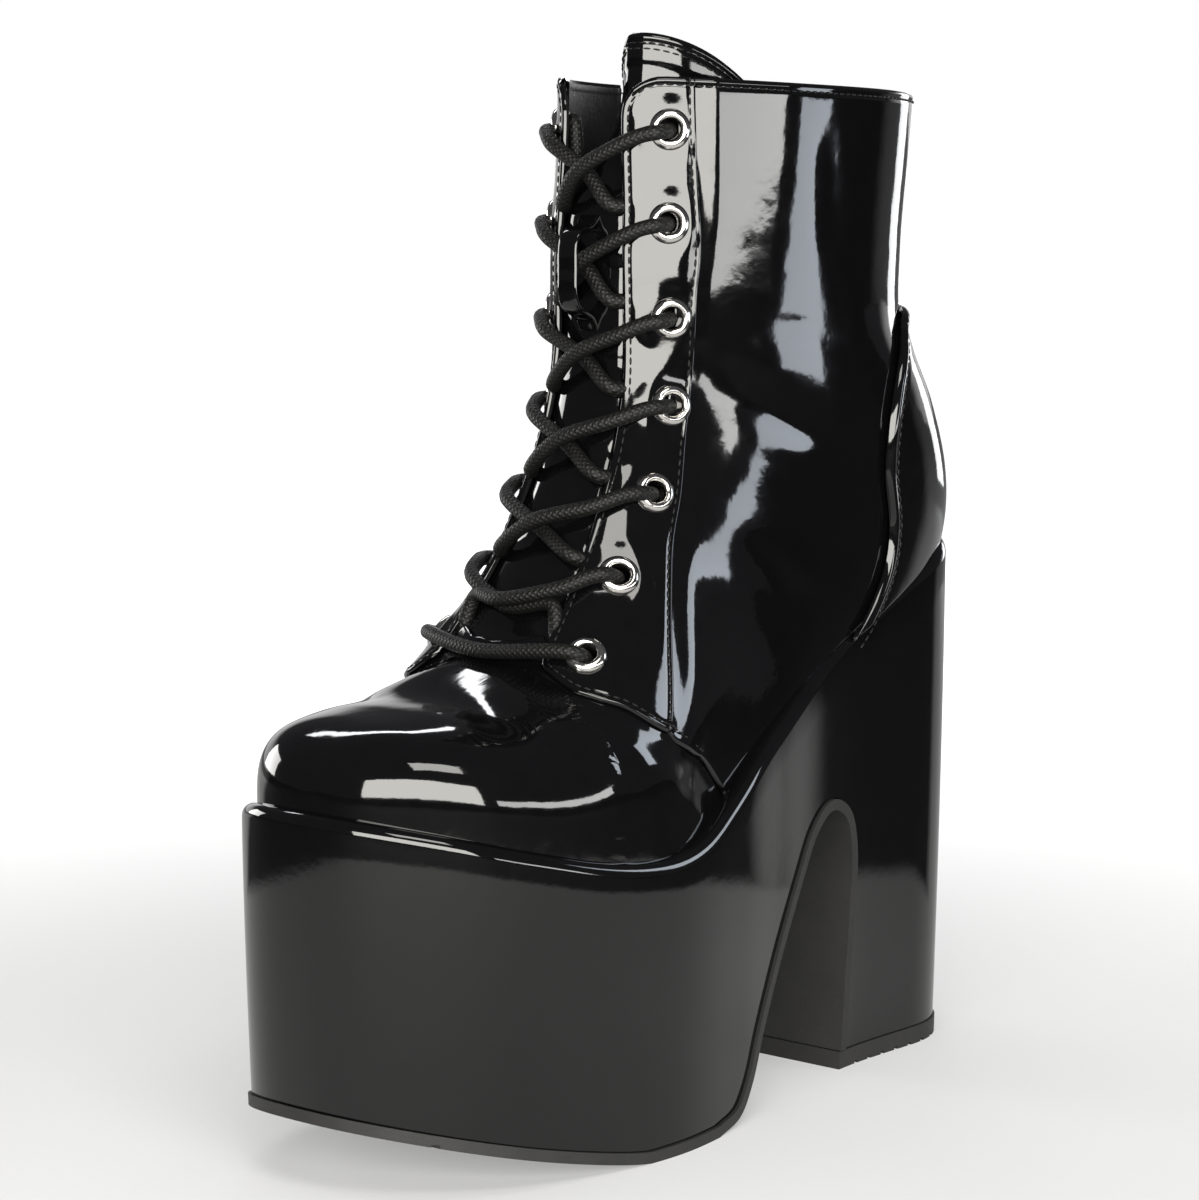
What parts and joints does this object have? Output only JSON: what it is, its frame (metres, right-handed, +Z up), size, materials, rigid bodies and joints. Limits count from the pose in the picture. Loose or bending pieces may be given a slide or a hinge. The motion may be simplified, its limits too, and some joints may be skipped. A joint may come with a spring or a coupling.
{
  "type": "platform ankle boot",
  "caption": "Black patent lace-up ankle boot with a high platform and block heel in one piece, domed metal eyelets, a padded tongue and a zip on the inner side.",
  "frame": {"origin": "on the floor under the middle of the bounding box", "axes": "+Z up, +Y towards the heel, +X towards the outer (lateral) side"},
  "size_m": [0.0968, 0.2486, 0.284],
  "materials": {
    "patent_upper": "patent, high gloss",
    "platform_wrap": "patent wrap, high gloss",
    "sole_rubber": "matte moulded",
    "sock_lining": "matte",
    "nickel": "polished nickel plate",
    "lace_cord": "waxed braid",
    "zip_tape": "coil teeth on woven tape"
  },
  "bodies": {
    "boot": {"outsole": "sole_rubber", "heel_lift": "sole_rubber", "platform_heel": "platform_wrap", "insole": "sock_lining", "upper": "patent_upper", "heel_counter": "patent_upper", "tongue": "patent_upper", "lace_keeper": "patent_upper", "eyelet_lateral_1": "nickel", "eyelet_medial_1": "nickel", "eyelet_lateral_2": "nickel", "eyelet_medial_2": "nickel", "eyelet_lateral_3": "nickel", "eyelet_medial_3": "nickel", "eyelet_lateral_4": "nickel", "eyelet_medial_4": "nickel", "eyelet_lateral_5": "nickel", "eyelet_medial_5": "nickel", "eyelet_lateral_6": "nickel", "eyelet_medial_6": "nickel", "eyelet_lateral_7": "nickel", "eyelet_medial_7": "nickel", "lace_bar": "lace_cord", "lace_cross_1": "lace_cord", "lace_cross_2": "lace_cord", "lace_cross_3": "lace_cord", "lace_cross_4": "lace_cord", "lace_cross_5": "lace_cord", "lace_cross_6": "lace_cord", "zip_chain": "zip_tape", "zip_slider": "nickel"},
    "pull_tab": {"zip_pull": "nickel"}
  },
  "joints": [
    {"name": "pull_swing", "type": "hinge", "parent": "boot", "child": "pull_tab", "pos_m": [-0.04138, 0.03624, 0.259], "axis": [-0.0616, 0.9981, 0], "range_deg": [0, 160]}
  ]
}
